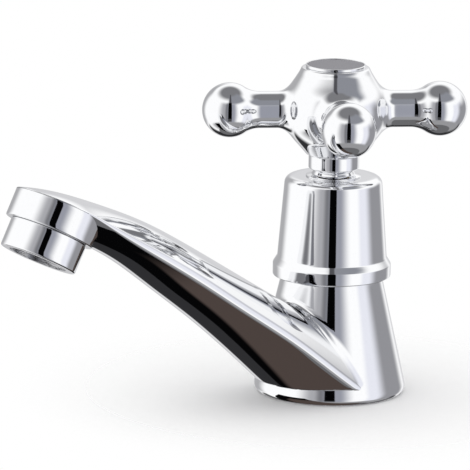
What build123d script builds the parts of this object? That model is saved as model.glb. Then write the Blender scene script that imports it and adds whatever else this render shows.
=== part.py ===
from build123d import *
import math
import os

# Pillar basin tap with a cross handle. Millimetres, +Z up, spout along -Y.
# The origin is the centre of the underside of the base, on the tower's axis.

# Base and tower of the cast body
base_radius = 24.8
base_wall_height = 2.8
base_edge_round = 2.0
cone_top_radius = 16.6
cone_top_z = 38.5
spigot_radius = 15.9
spigot_height = 3.5

# Base seal, held in a groove in the underside
seal_edge_margin = 3.8
seal_width = 5.0
seal_depth = 2.0
seal_clearance = 0.1

# Inlet, an internal G1/2 thread drawn plain at its major radius
inlet_thread_radius = 10.48
inlet_thread_length = 14.0
inlet_bore_radius = 6.0

# Valve chamber and the thread that takes the headwork
seat_depth = 17.5
chamber_radius = 11.2
valve_thread_length = 6.0
valve_thread_radius = 10.48
thread_clearance = 0.08

# Spout arm, measured from the centre of the head's underside. A low arch and a hull meet at
# its rounded side edges. Each station gives its distance back along the arm, half width, the
# heights of the crown, the side edge and the keel above the plane of the head's underside,
# and the radius of the side edge.
spout_reach = 119.0
spout_height = 68.5
spout_tilt = 28.0
arm_stations = [
    (0.0, 14.7, 12.9, 9.1, 0.7, 0.5),
    (15.0, 15.7, 15.1, 8.5, 1.3, 1.3),
    (32.0, 17.0, 16.4, 7.0, 1.0, 2.2),
    (52.0, 18.5, 16.4, 5.8, -1.3, 2.6),
    (74.0, 20.1, 15.4, 3.7, -4.6, 2.6),
    (97.0, 21.8, 14.6, 1.7, -9.1, 2.6),
    (120.0, 23.2, 13.8, -2.0, -14.4, 2.6),
    (134.0, 23.9, 13.2, -3.9, -17.5, 2.6),
]
arm_foot_z = 5.0
arm_wall = 3.0
cavity_side_inset = 4.2
cavity_first = 18.0
cavity_last = 107.0

# Head, a short drum square to the arm
head_radius = 14.85
head_height = 9.2
head_crown = 3.8
head_edge_round = 0.5
outlet_thread_radius = 12.0
outlet_thread_length = 5.0
head_chamber_radius = 10.5
head_chamber_height = 9.0
neck_bore_radius = 3.0
neck_bore_height = 8.3
port_radius = 3.8
port_start_distance = 8.0
port_end_distance = 25.0
port_rise = 3.5
port_drop = 6.8

# Aerator, screwed into the head
aerator_skirt_radius = 12.75
aerator_skirt_height = 9.6
aerator_bore_radius = 10.9
aerator_thread_length = 3.8
aerator_clearance = 0.1
aerator_lip = 1.3
aerator_edge_round = 0.5
washer_thickness = 1.2
filter_thickness = 0.6
insert_height = 7.0
insert_wall = 1.2
insert_web = 1.5
insert_boss_radius = 2.5
jet_circle_radius = 6.2
jet_radius = 0.9
jet_count = 12
screen_thickness = 0.8
screen_hole_radius = 0.75
screen_pitch = 2.2
screen_rim = 1.0

# Bell shroud over the headwork
shroud_gap = 0.4
shroud_ring_radius = 19.4
shroud_ring_height = 4.0
shroud_step_radius = 18.0
shroud_step_height = 6.3
shroud_shoulder_radius = 15.9
shroud_height = 33.1
shroud_shoulder_round = 2.2
shroud_wall = 2.0
shroud_ledge_width = 1.3
shroud_clearance = 0.1

# Shroud nut on the headwork's neck
nut_foot_radius = 9.1
nut_radius = 6.4
nut_foot_height = 0.4
nut_flare_height = 0.9
nut_height = 2.4

# Headwork, a quarter turn cartridge with ceramic discs
headwork_neck_radius = 5.2
headwork_neck_recess = 0.2
headwork_sleeve_radius = 8.6
headwork_sleeve_gap = 6.0
headwork_hex_across = 22.0
headwork_hex_height = 7.0
headwork_barrel_radius = 9.4
headwork_barrel_bore = 8.2
headwork_seat_gap = 0.5
headwork_thread_gap = 1.0
fibre_washer_thickness = 1.0
fibre_washer_outer = 13.0
window_width = 7.0
window_height = 3.2
window_rise = 0.4
stop_width = 0.8
stop_angle = 12.0
turn_angle = 90.0
lug_angle = 24.0
lug_play_angle = 1.0

# Ceramic discs, their seal and the spindle
seat_seal_bore = 5.6
seat_seal_height = 3.0
disc_radius = 8.0
fixed_disc_thickness = 2.5
moving_disc_thickness = 3.0
disc_film = 0.05
disc_port_inner = 2.2
disc_port_outer = 6.2
disc_port_angle = 80.0
key_width = 3.0
key_depth = 1.4
key_clearance = 0.1
key_end_gap = 0.5
spindle_radius = 4.0
spindle_clearance = 0.05
spindle_foot_radius = 6.9
spindle_foot_height = 4.0
thrust_washer_thickness = 0.6
oring_section = 1.2
oring_groove_length = 1.6
oring_rises = (3.0, 8.0)
circlip_thickness = 0.8
circlip_groove_radius = 3.2
circlip_outer_radius = 5.1
circlip_gap = 3.0
spline_teeth = 20
spline_depth = 0.5
spline_rise = 1.8
spindle_recess = 0.2
lug_root = 1.0
screw_hole_depth = 12.0

# Handle: a double cone hub on a collar, with four arms ending in balls
handle_turn_at_rest = 57.0
handle_gap = 0.3
collar_radius = 8.3
collar_height = 4.5
arm_count = 4
arm_rise = 19.6
arm_radius = 6.05
arm_ball_radius = 9.0
arm_ball_centre = 34.7
arm_ball_blend = 9.0
arm_root_fillet = 3.0
# Points of the hub's flank: radius and rise above the collar, then radius and depth below the top
hub_lower_flank = [(9.3, 0.4), (11.4, 2.8), (14.9, 7.0), (17.0, 11.8)]
hub_upper_flank = [(17.3, 12.9), (16.2, 8.5), (13.8, 4.7), (11.9, 1.7)]
hub_top_radius = 11.1
hub_rise = 14.0
hub_edge_round = 0.5
insert_radius = 6.4
insert_length = 12.0
cap_bore_radius = 8.6

# Screw, its washer and the cap
screw_radius = 1.95
screw_clearance = 0.05
screw_head_radius = 4.2
screw_head_height = 3.0
screw_socket_across = 3.0
screw_socket_depth = 1.8
screw_length = 11.0
screw_washer_radius = 5.5
screw_washer_thickness = 0.8
cap_radius = 9.8
cap_flange_height = 1.0
cap_rim_width = 0.5
cap_disc_thickness = 0.4
cap_disc_depth = 0.55
cap_spigot_length = 5.5
cap_spigot_wall = 1.6
cap_clearance = 0.05
cap_ring_section = 1.1

# The seal's radii follow from the base
seal_outer_radius = base_radius - seal_edge_margin
seal_inner_radius = seal_outer_radius - seal_width

# Heights that follow from the pieces below, from the cone up to the hub's top
body_top_z = cone_top_z + spigot_height
seat_z = body_top_z - seat_depth
chamber_top_z = body_top_z - valve_thread_length
headwork_bottom_z = seat_z + headwork_seat_gap
shroud_bottom_z = cone_top_z + shroud_gap
shroud_ring_top_z = shroud_bottom_z + shroud_ring_height
shroud_step_z = shroud_bottom_z + shroud_step_height
shroud_top_z = shroud_bottom_z + shroud_height
nut_top_z = shroud_top_z + nut_height
headwork_neck_top_z = nut_top_z - headwork_neck_recess
headwork_sleeve_top_z = shroud_top_z - shroud_wall - headwork_sleeve_gap
spline_bottom_z = headwork_neck_top_z + spline_rise
insert_top_z = spline_bottom_z + insert_length
spindle_top_z = insert_top_z - spindle_recess
collar_bottom_z = nut_top_z + handle_gap
collar_top_z = collar_bottom_z + collar_height
arm_axis_z = collar_bottom_z + arm_rise
hub_top_z = arm_axis_z + hub_rise


def drum(radius, bottom, height):
    """A disc that stands on the XY plane's axis, from its bottom up."""
    return Pos(0, 0, bottom) * Cylinder(radius, height, align=(Align.CENTER, Align.CENTER, Align.MIN))


def block(length, width, bottom, height):
    """A box centred on the same axis, from its bottom up."""
    return Pos(0, 0, bottom) * Box(length, width, height, align=(Align.CENTER, Align.CENTER, Align.MIN))


def ring(outer, inner, bottom, top):
    """A plain tube on the tower's axis."""
    tube = drum(outer, bottom, top - bottom)
    if inner > 0:
        tube -= drum(inner, bottom, top - bottom)
    return tube


def turned(points):
    """A solid turned about the tower's axis from (radius, height) points."""
    outline = Polyline(*[(r, 0, z) for r, z in points], close=True)
    return revolve(make_face(outline), Axis.Z)


def torus_ring(middle_radius, section, height):
    """An O-ring on the tower's axis."""
    return Pos(0, 0, height) * Torus(middle_radius, section / 2)


def polar(radius, degrees):
    """The flat point at a radius and an angle."""
    angle = math.radians(degrees)
    return (radius * math.cos(angle), radius * math.sin(angle))


def sector(inner, outer, start, sweep, bottom, top):
    """A block between two radii and two angles in degrees, about the tower's axis."""
    middle = start + sweep / 2
    end = start + sweep
    edges = [
        ThreePointArc(polar(outer, start), polar(outer, middle), polar(outer, end)),
        Line(polar(outer, end), polar(inner, end)),
        ThreePointArc(polar(inner, end), polar(inner, middle), polar(inner, start)),
        Line(polar(inner, start), polar(outer, start)),
    ]
    face = make_face(Wire(edges))
    return Pos(0, 0, bottom) * extrude(face, top - bottom)


def splined(outer, bottom, top):
    """A toothed shaft or hole whose tooth tips lie at the outer radius."""
    corners = 4 * spline_teeth
    points = []
    for i in range(corners):
        radius = outer if i % 4 in (0, 1) else outer - spline_depth
        points.append(polar(radius, 360 * (i - 0.5) / corners))
    face = make_face(Polyline(*points, close=True))
    return Pos(0, 0, bottom) * extrude(face, top - bottom)


# The head's own frame: X across, Y forward along the arm, Z up square to the head.
head_plane = Plane(
    origin=(0, -spout_reach, spout_height),
    x_dir=(-1, 0, 0),
    z_dir=(0, math.sin(math.radians(spout_tilt)), math.cos(math.radians(spout_tilt))),
)
head = Location(head_plane)


def arm_section(back, half_width, crown, side, keel, edge_radius=0.0):
    """One cross section of the arm: an arch and a hull, both arcs, that meet at its side edges."""
    plane = Plane(
        origin=head_plane.from_local_coords((0, -back, 0)),
        x_dir=(-1, 0, 0),
        z_dir=-head_plane.y_dir,
    )
    arch = ThreePointArc((half_width, side), (0, crown), (-half_width, side))
    hull = ThreePointArc((-half_width, side), (0, keel), (half_width, side))
    face = make_face(Wire([arch, hull]))
    if edge_radius:
        face = fillet(face.vertices(), edge_radius)
    return plane * face


def cavity_section(back, half_width, crown, side, keel, edge_radius):
    """The waterway's cross section, which leaves the arm its wall."""
    return arm_section(back, half_width - cavity_side_inset, crown - arm_wall, side, keel + arm_wall)


def station_at(back):
    """The arm's sizes at any distance back, by straight lines between its stations."""
    for near, far in zip(arm_stations, arm_stations[1:]):
        if near[0] <= back <= far[0]:
            share = (back - near[0]) / (far[0] - near[0])
            return [a + share * (b - a) for a, b in zip(near, far)]


def make_tap_body():
    """The cast body: base, tower and spout in one piece, hollow for the water."""
    tower = turned([
        (0, 0),
        (base_radius, 0),
        (base_radius, base_wall_height),
        (cone_top_radius, cone_top_z),
        (spigot_radius, cone_top_z),
        (spigot_radius, body_top_z),
        (0, body_top_z),
    ])
    tower = fillet(tower.edges().group_by(Axis.Z)[0], base_edge_round)
    arm = loft([arm_section(*station) for station in arm_stations])
    arm &= block(spout_reach, 3 * spout_reach, arm_foot_z, 2 * spout_height)
    head_drum = drum(head_radius, 0, head_height)
    head_drum = fillet(head_drum.edges().group_by(Axis.Z)[0], head_edge_round)
    crown_radius = (head_radius ** 2 + head_crown ** 2) / (2 * head_crown)
    crown_centre = head_height + head_crown - crown_radius
    dome = Pos(0, 0, crown_centre) * Sphere(crown_radius)
    dome &= drum(head_radius, 0, head_height + head_crown)
    body = tower + arm + head * (head_drum + dome)

    between = [station for station in arm_stations if cavity_first < station[0] < cavity_last]
    cavity_stations = [station_at(cavity_first), *between, station_at(cavity_last)]
    body -= loft([cavity_section(*station) for station in cavity_stations])
    body -= head * drum(outlet_thread_radius, 0, outlet_thread_length)
    body -= head * drum(head_chamber_radius, 0, head_chamber_height)
    neck_origin = head_plane.from_local_coords((0, 0, neck_bore_height))
    neck_plane = Plane(origin=neck_origin, z_dir=-head_plane.y_dir)
    neck_from = head_chamber_radius - 2
    neck_run = cavity_first + 2 - neck_from
    body -= Location(neck_plane) * drum(neck_bore_radius, neck_from, neck_run)
    port_way = Vector(0, port_start_distance - port_end_distance, -port_drop)
    port_plane = Plane(origin=(0, -port_start_distance, seat_z + port_rise), z_dir=port_way)
    body -= Location(port_plane) * drum(port_radius, 0, port_way.length)

    body -= ring(valve_thread_radius, 0, seat_z, body_top_z)
    body -= ring(chamber_radius, 0, seat_z, chamber_top_z)
    body -= ring(inlet_bore_radius, 0, 0, seat_z)
    body -= ring(inlet_thread_radius, 0, 0, inlet_thread_length)
    body -= ring(seal_outer_radius + seal_clearance, seal_inner_radius - seal_clearance, 0, seal_depth)
    return body


def make_base_seal():
    """The rubber ring that seals the base on the basin."""
    return ring(seal_outer_radius, seal_inner_radius, 0, seal_depth)


def make_aerator_housing():
    """The chromed sleeve with its thread up in the head and a small lip round the outlet."""
    skirt = drum(aerator_skirt_radius, -aerator_skirt_height, aerator_skirt_height)
    skirt = fillet(skirt.edges().group_by(Axis.Z)[0], aerator_edge_round)
    thread = drum(outlet_thread_radius - aerator_clearance, 0, aerator_thread_length)
    bore_height = aerator_skirt_height + aerator_thread_length
    bore = drum(aerator_bore_radius, -aerator_skirt_height + aerator_lip, bore_height)
    mouth = drum(aerator_bore_radius - aerator_lip, -aerator_skirt_height, aerator_lip)
    return head * (skirt + thread - bore - mouth)


def make_aerator_washer():
    """The flat rubber washer between the sleeve's rim and the shoulder in the head."""
    outer = outlet_thread_radius - 2 * aerator_clearance
    washer = drum(outer, aerator_thread_length, washer_thickness)
    hole = drum(aerator_bore_radius - aerator_lip, aerator_thread_length, washer_thickness)
    return head * (washer - hole)


def perforated(bottom, height):
    """A disc with a square grid of holes inside its rim, as wide as the sleeve's bore."""
    disc = drum(inner_radius, bottom, height)
    reach = inner_radius - screen_rim - screen_hole_radius
    count = int(reach // screen_pitch)
    rows = range(-count, count + 1)
    spots = [(i * screen_pitch, j * screen_pitch) for i in rows for j in rows]
    holes = [Pos(x, y, 0) * drum(screen_hole_radius, bottom, height)
             for x, y in spots if math.hypot(x, y) < reach]
    return disc - holes


screen_bottom = -aerator_skirt_height + aerator_lip
insert_bottom = screen_bottom + screen_thickness
filter_bottom = insert_bottom + insert_height
inner_radius = aerator_bore_radius - aerator_clearance


def make_aerator_screen():
    """The perforated plate at the outlet that lays the stream straight."""
    return head * perforated(screen_bottom, screen_thickness)


def make_aerator_insert():
    """The plastic mixing insert: a ring, a web with jets and a central cone."""
    web_bottom = insert_bottom + insert_height / 2
    outer = drum(inner_radius, insert_bottom, insert_height)
    well = drum(inner_radius - insert_wall, insert_bottom, insert_height / 2)
    top_well = drum(inner_radius - insert_wall, web_bottom + insert_web, insert_height)
    boss = drum(insert_boss_radius, insert_bottom, insert_height)
    jet = Pos(jet_circle_radius, 0, 0) * drum(jet_radius, insert_bottom, insert_height)
    jets = [Rot(0, 0, 360 / jet_count * i) * jet for i in range(jet_count)]
    return head * (outer - well - top_well + boss - jets)


def make_aerator_filter():
    """The fine strainer that lies on top of the insert, under the washer."""
    return head * perforated(filter_bottom, filter_thickness)


def make_shroud():
    """The bell cover that drops over the headwork and stands on the body's spigot."""
    inside = spigot_radius + shroud_clearance
    ledge = inside - shroud_ledge_width
    hole = headwork_neck_radius + shroud_clearance
    bell = turned([
        (0, shroud_bottom_z),
        (shroud_ring_radius, shroud_bottom_z),
        (shroud_ring_radius, shroud_ring_top_z),
        (shroud_step_radius, shroud_step_z),
        (shroud_shoulder_radius, shroud_top_z),
        (0, shroud_top_z),
    ])
    bell = fillet(bell.edges().group_by(Axis.Z)[-1], shroud_shoulder_round)
    hollow = turned([
        (0, shroud_bottom_z),
        (inside, shroud_bottom_z),
        (inside, body_top_z),
        (ledge, body_top_z),
        (ledge, body_top_z + shroud_wall),
        (shroud_step_radius - shroud_wall, shroud_step_z + shroud_wall),
        (shroud_shoulder_radius - shroud_wall, shroud_top_z - 2 * shroud_wall),
        (shroud_shoulder_radius - 2 * shroud_wall, shroud_top_z - shroud_wall),
        (0, shroud_top_z - shroud_wall),
    ])
    return bell - hollow - ring(hole, 0, shroud_bottom_z, shroud_top_z)


def make_shroud_nut():
    """The flared ring nut that holds the bell down."""
    foot_top = shroud_top_z + nut_foot_height
    nut = turned([
        (0, shroud_top_z),
        (nut_foot_radius, shroud_top_z),
        (nut_foot_radius, foot_top),
        (nut_radius, foot_top + nut_flare_height),
        (nut_radius, nut_top_z),
        (0, nut_top_z),
    ])
    return nut - ring(headwork_neck_radius + spindle_clearance, 0, shroud_top_z, nut_top_z)


hex_bottom = body_top_z + fibre_washer_thickness
hex_top = hex_bottom + headwork_hex_height
fixed_disc_z = seat_z + seat_seal_height
moving_disc_z = fixed_disc_z + fixed_disc_thickness + disc_film
foot_z = moving_disc_z + moving_disc_thickness
foot_top_z = foot_z + spindle_foot_height
thrust_top_z = foot_top_z + thrust_washer_thickness
oring_heights = [hex_bottom + rise for rise in oring_rises]
window_z = foot_z + window_rise
barrel_top_z = chamber_top_z + headwork_thread_gap


def make_headwork_body():
    """The brass cartridge: barrel with windows, thread, hexagon, sleeve and neck."""
    body = ring(headwork_barrel_radius, 0, headwork_bottom_z, barrel_top_z)
    body += ring(valve_thread_radius - thread_clearance, 0, barrel_top_z, hex_bottom)
    hexagon = extrude(RegularPolygon(headwork_hex_across / 2, 6, major_radius=False), headwork_hex_height)
    body += Pos(0, 0, hex_bottom) * hexagon
    body += ring(headwork_sleeve_radius, 0, hex_top, headwork_sleeve_top_z)
    body += ring(headwork_neck_radius, 0, headwork_sleeve_top_z, headwork_neck_top_z)
    body -= ring(headwork_barrel_bore, 0, headwork_bottom_z, thrust_top_z + disc_film)
    body -= ring(spindle_radius + spindle_clearance, 0, headwork_bottom_z, headwork_neck_top_z)
    body -= Rot(0, 0, 90) * block(2 * chamber_radius, window_width, window_z, window_height)
    stop_from = headwork_barrel_bore - stop_width
    stop_to = (headwork_barrel_bore + headwork_barrel_radius) / 2
    low = -lug_angle / 2 - lug_play_angle - stop_angle
    high = lug_angle / 2 + lug_play_angle + turn_angle
    for start in (low, high):
        body += sector(stop_from, stop_to, start, stop_angle, window_z, foot_top_z)
    return body


def make_headwork_washer():
    """The fibre washer under the hexagon."""
    return ring(fibre_washer_outer, valve_thread_radius, body_top_z, hex_bottom)


def make_seat_seal():
    """The rubber ring that the fixed disc presses on the seat in the body."""
    return ring(disc_radius, seat_seal_bore, seat_z, fixed_disc_z)


def disc_ports(bottom, thickness):
    """The two opposite sector ports of a ceramic disc."""
    port = sector(
        disc_port_inner, disc_port_outer, -disc_port_angle / 2, disc_port_angle, bottom, bottom + thickness)
    return [Rot(0, 0, turn) * port for turn in (0, 180)]


def make_ceramic_disc_fixed():
    """The lower ceramic disc, which does not turn."""
    disc = ring(disc_radius, 0, fixed_disc_z, fixed_disc_z + fixed_disc_thickness)
    return Rot(0, 0, 90) * (disc - disc_ports(fixed_disc_z, fixed_disc_thickness))


def make_ceramic_disc_moving():
    """The upper ceramic disc, turned by the key under the spindle's foot."""
    disc = ring(disc_radius - key_clearance, 0, moving_disc_z, foot_z)
    slot_depth = key_depth + key_clearance
    slot = block(2 * disc_radius, key_width + 2 * key_clearance, foot_z - slot_depth, slot_depth)
    return disc - disc_ports(moving_disc_z, moving_disc_thickness) - Rot(0, 0, 90) * slot


def make_spindle():
    """The brass spindle: keyed foot with a stop lug, plain shank with two grooves, splined top."""
    key = block(2 * (spindle_foot_radius - key_end_gap), key_width, foot_z - key_depth, key_depth)
    spindle = ring(spindle_foot_radius, 0, foot_z, foot_top_z) + Rot(0, 0, 90) * key
    lug_radius = headwork_barrel_bore - 2 * spindle_clearance
    lug_from = spindle_foot_radius - lug_root
    spindle += sector(lug_from, lug_radius, -lug_angle / 2, lug_angle, foot_z, foot_top_z)
    spindle += ring(spindle_radius, 0, foot_top_z, spline_bottom_z)
    spindle += splined(spindle_radius, spline_bottom_z, spindle_top_z)
    for height in oring_heights:
        spindle -= ring(
            spindle_foot_radius, spindle_radius - oring_section,
            height - oring_groove_length / 2, height + oring_groove_length / 2)
    spindle -= ring(
        spindle_foot_radius, circlip_groove_radius,
        headwork_neck_top_z + disc_film, headwork_neck_top_z + 2 * disc_film + circlip_thickness)
    hole = screw_radius + screw_clearance
    return spindle - ring(hole, 0, spindle_top_z - screw_hole_depth, spindle_top_z)


def make_spindle_orings():
    """The two O-rings that seal the spindle in its sleeve."""
    middle = spindle_radius - oring_section / 2
    return Compound([torus_ring(middle, oring_section, height) for height in oring_heights])


def make_thrust_washer():
    """The slippery washer between the spindle's foot and the sleeve."""
    outer = headwork_barrel_bore - 2 * key_clearance
    return ring(outer, spindle_radius + key_clearance, foot_top_z, thrust_top_z)


def make_circlip():
    """The open ring that keeps the spindle from dropping into the cartridge."""
    bottom = headwork_neck_top_z + disc_film
    clip = ring(circlip_outer_radius, circlip_groove_radius, bottom, bottom + circlip_thickness)
    gap = block(2 * circlip_outer_radius, circlip_gap, bottom, circlip_thickness)
    return clip - Pos(circlip_outer_radius, 0, 0) * gap


def make_handle():
    """The cast cross handle, turned to the place that it has when the tap is shut."""
    flank_points = [(r, 0, collar_top_z + rise) for r, rise in hub_lower_flank]
    flank_points += [(r, 0, hub_top_z - depth) for r, depth in hub_upper_flank]
    foot = Polyline((0, 0, collar_bottom_z), (collar_radius, 0, collar_bottom_z),
                    (collar_radius, 0, collar_top_z), flank_points[0])
    edge_z = hub_top_z - hub_edge_round
    edge_radius = hub_top_radius - hub_edge_round
    top = Polyline(flank_points[-1], (hub_top_radius, 0, edge_z), (edge_radius, 0, hub_top_z),
                   (0, 0, hub_top_z), (0, 0, collar_bottom_z))
    outline = foot.edges() + [Spline(*flank_points)] + top.edges()
    hub = revolve(make_face(Wire(outline)), Axis.Z)

    rise = arm_ball_radius + arm_ball_blend
    drop = arm_radius + arm_ball_blend
    blend_back = math.sqrt(rise ** 2 - drop ** 2)
    share = arm_ball_radius / rise
    touch = (arm_ball_centre - blend_back * share, drop * share)
    blend_centre = (arm_ball_centre - blend_back, drop)
    start = (blend_centre[0], arm_radius)
    turn = (math.atan2(touch[1] - drop, touch[0] - blend_centre[0]) + math.atan2(-1, 0)) / 2
    middle_x = blend_centre[0] + arm_ball_blend * math.cos(turn)
    blend_middle = (middle_x, drop + arm_ball_blend * math.sin(turn))
    ball_middle = (arm_ball_centre, arm_ball_radius)
    arm_outline = [
        Line((0, 0), (0, arm_radius)),
        Line((0, arm_radius), start),
        ThreePointArc(start, blend_middle, touch),
        ThreePointArc(touch, ball_middle, (arm_ball_centre + arm_ball_radius, 0)),
        Line((arm_ball_centre + arm_ball_radius, 0), (0, 0)),
    ]
    arm = Pos(0, 0, arm_axis_z) * revolve(make_face(Wire(arm_outline)), Axis.X)
    handle = hub
    for i in range(arm_count):
        handle += Rot(0, 0, 360 / arm_count * i) * arm
    roots = []
    for edge in handle.edges():
        middle = edge.center()
        distance = math.hypot(middle.X, middle.Y)
        beside_hub = hub_top_radius < distance < start[0] - arm_root_fillet
        at_arm = abs(middle.Z - arm_axis_z) < arm_root_fillet
        if beside_hub and at_arm and edge.length > 4 * arm_radius:
            roots.append(edge)
    handle = fillet(roots, arm_root_fillet)
    handle -= ring(insert_radius, 0, collar_bottom_z, insert_top_z)
    handle -= ring(cap_bore_radius, 0, insert_top_z, hub_top_z)
    return Rot(0, 0, handle_turn_at_rest) * handle


def make_handle_insert():
    """The broached brass bush that the handle is cast round."""
    return ring(insert_radius, 0, spline_bottom_z, insert_top_z) - splined(
        spindle_radius + key_clearance, spline_bottom_z, insert_top_z)


def make_screw_washer():
    """The flat washer under the screw's head."""
    top = insert_top_z + screw_washer_thickness
    return ring(screw_washer_radius, screw_radius + key_clearance, insert_top_z, top)


def make_handle_screw():
    """The socket screw that draws the handle down on the spindle."""
    seat = insert_top_z + screw_washer_thickness
    head_top = seat + screw_head_height
    screw = ring(screw_radius, 0, seat - screw_length, seat)
    screw += ring(screw_head_radius, 0, seat, head_top)
    socket = extrude(RegularPolygon(screw_socket_across / 2, 6, major_radius=False), screw_socket_depth)
    return screw - Pos(0, 0, head_top - screw_socket_depth) * socket


cap_top_z = hub_top_z + cap_flange_height
cap_spigot_radius = cap_bore_radius - cap_clearance
cap_ring_z = hub_top_z - cap_spigot_length / 2


def make_handle_cap():
    """The chromed button that closes the hub: a flange with a raised rim over a hollow spigot."""
    cap = ring(cap_radius, 0, hub_top_z, cap_top_z)
    cap = fillet(cap.edges().group_by(Axis.Z)[-1], cap_rim_width / 2)
    spigot_bore = cap_spigot_radius - cap_spigot_wall
    cap += ring(cap_spigot_radius, spigot_bore, hub_top_z - cap_spigot_length, hub_top_z)
    cap -= ring(cap_radius - cap_rim_width, 0, cap_top_z - cap_disc_depth, cap_top_z)
    groove = cap_ring_section / 2 + key_clearance
    groove_floor = cap_bore_radius - cap_ring_section
    return cap - ring(cap_bore_radius, groove_floor, cap_ring_z - groove, cap_ring_z + groove)


def make_cap_disc():
    """The plain disc laid in the cap's rim."""
    floor = cap_top_z - cap_disc_depth
    return ring(cap_radius - cap_rim_width - cap_clearance, 0, floor, floor + cap_disc_thickness)


def make_cap_ring():
    """The rubber ring that grips the cap in the hub."""
    return torus_ring(cap_bore_radius - cap_ring_section / 2, cap_ring_section, cap_ring_z)


pieces = {
    "tap_body": make_tap_body,
    "base_seal": make_base_seal,
    "aerator_housing": make_aerator_housing,
    "aerator_washer": make_aerator_washer,
    "aerator_filter": make_aerator_filter,
    "aerator_insert": make_aerator_insert,
    "aerator_screen": make_aerator_screen,
    "shroud": make_shroud,
    "shroud_nut": make_shroud_nut,
    "headwork_body": make_headwork_body,
    "headwork_washer": make_headwork_washer,
    "seat_seal": make_seat_seal,
    "ceramic_disc_fixed": make_ceramic_disc_fixed,
    "ceramic_disc_moving": make_ceramic_disc_moving,
    "spindle": make_spindle,
    "spindle_orings": make_spindle_orings,
    "thrust_washer": make_thrust_washer,
    "circlip": make_circlip,
    "handle": make_handle,
    "handle_insert": make_handle_insert,
    "screw_washer": make_screw_washer,
    "handle_screw": make_handle_screw,
    "handle_cap": make_handle_cap,
    "cap_disc": make_cap_disc,
    "cap_ring": make_cap_ring,
}

os.makedirs("parts", exist_ok=True)
for name, make in pieces.items():
    export_step(make(), os.path.join("parts", name + ".step"))
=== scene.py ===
import math

import bmesh
import bpy
import numpy as np
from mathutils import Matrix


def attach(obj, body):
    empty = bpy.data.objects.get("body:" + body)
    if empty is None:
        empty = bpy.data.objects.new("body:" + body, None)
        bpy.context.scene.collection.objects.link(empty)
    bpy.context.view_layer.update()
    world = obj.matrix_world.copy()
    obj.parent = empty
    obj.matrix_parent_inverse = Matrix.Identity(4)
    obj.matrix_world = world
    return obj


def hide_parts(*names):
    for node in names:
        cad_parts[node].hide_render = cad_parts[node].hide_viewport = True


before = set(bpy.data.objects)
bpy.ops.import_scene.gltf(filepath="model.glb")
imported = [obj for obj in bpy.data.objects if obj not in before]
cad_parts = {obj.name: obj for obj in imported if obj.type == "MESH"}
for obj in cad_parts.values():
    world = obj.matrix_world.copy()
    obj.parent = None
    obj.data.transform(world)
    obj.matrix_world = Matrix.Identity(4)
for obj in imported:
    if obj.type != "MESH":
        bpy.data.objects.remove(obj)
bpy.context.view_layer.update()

# The body casting: a round conical tower with its base lip, the rising spout and the round head at its
# end. It is cast hollow in brass, machined at the seat, the spigot and the threads, polished and plated.
MM = 0.001
base_radius = 24.8
base_wall_height = 2.8
base_edge_round = 2.0
cone_top_radius = 16.6
cone_top_z = 38.5
spigot_radius = 15.9
spigot_top_z = 42.0
inlet_radius = 10.48
inlet_depth = 14.0
inlet_chamfer = 0.9
inlet_chamfer_height = 1.0
waterway_radius = 6.0
seat_z = 24.5
chamber_radius = 11.2
chamber_top_z = 36.0
groove_inner = 15.9
groove_outer = 21.1
groove_depth = 2.0


def rounded(corners, radii, run=1.2, steps=7):
    """A flat profile through its corners. Each corner is turned by an arc of its own radius that touches
    both runs, and each straight run is cut into equal lengths no longer than run."""
    corners = np.array(corners, float)
    pieces = [corners[:1]]
    for before, corner, after, radius in zip(corners, corners[1:], corners[2:], radii):
        way_in = (corner - before) / np.linalg.norm(corner - before)
        way_out = (after - corner) / np.linalg.norm(after - corner)
        cross = way_in[0] * way_out[1] - way_in[1] * way_out[0]
        turn = math.atan2(cross, way_in @ way_out)
        side = np.array([-way_in[1], way_in[0]]) * math.copysign(1, cross)
        begin = corner - way_in * radius * math.tan(abs(turn) / 2)
        angle = np.linspace(0, abs(turn), steps)[:, None]
        pieces.append(begin + radius * (np.sin(angle) * way_in + (1 - np.cos(angle)) * side))
    pieces.append(corners[-1:])
    line = [pieces[0]]
    for piece in pieces[1:]:
        start = line[-1][-1]
        gap = np.linalg.norm(piece[0] - start)
        count = max(2, int(gap / run) + 2)
        line.append(start + np.linspace(0, 1, count)[1:-1, None] * (piece[0] - start))
        line.append(piece)
    line = np.concatenate(line)
    keep = np.append(True, np.linalg.norm(np.diff(line, axis=0), axis=1) > 1e-6)
    return line[keep]


def turned(profile, columns=192):
    """A profile of (radius, height) points carried round the Z axis: x is radius times cosine of the
    turn, y is radius times its sine, z is height."""
    turn = np.linspace(0, 2 * math.pi, columns + 1)[None, :]
    radius = profile[:, :1]
    height = profile[:, 1:] + 0 * turn
    return np.stack([radius * np.cos(turn), radius * np.sin(turn), height], axis=-1)


def grid_faces(grid, start=0):
    """The four corners of each face of a grid, as places in the list of its points: a point's place is
    start plus its row times the columns plus its column."""
    rows, columns = grid.shape[:2]
    index = start + np.arange(rows * columns).reshape(rows, columns)
    corners = [index[:-1, :-1], index[1:, :-1], index[1:, 1:], index[:-1, 1:]]
    return np.stack(corners, axis=-1).reshape(-1, 4)


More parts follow.
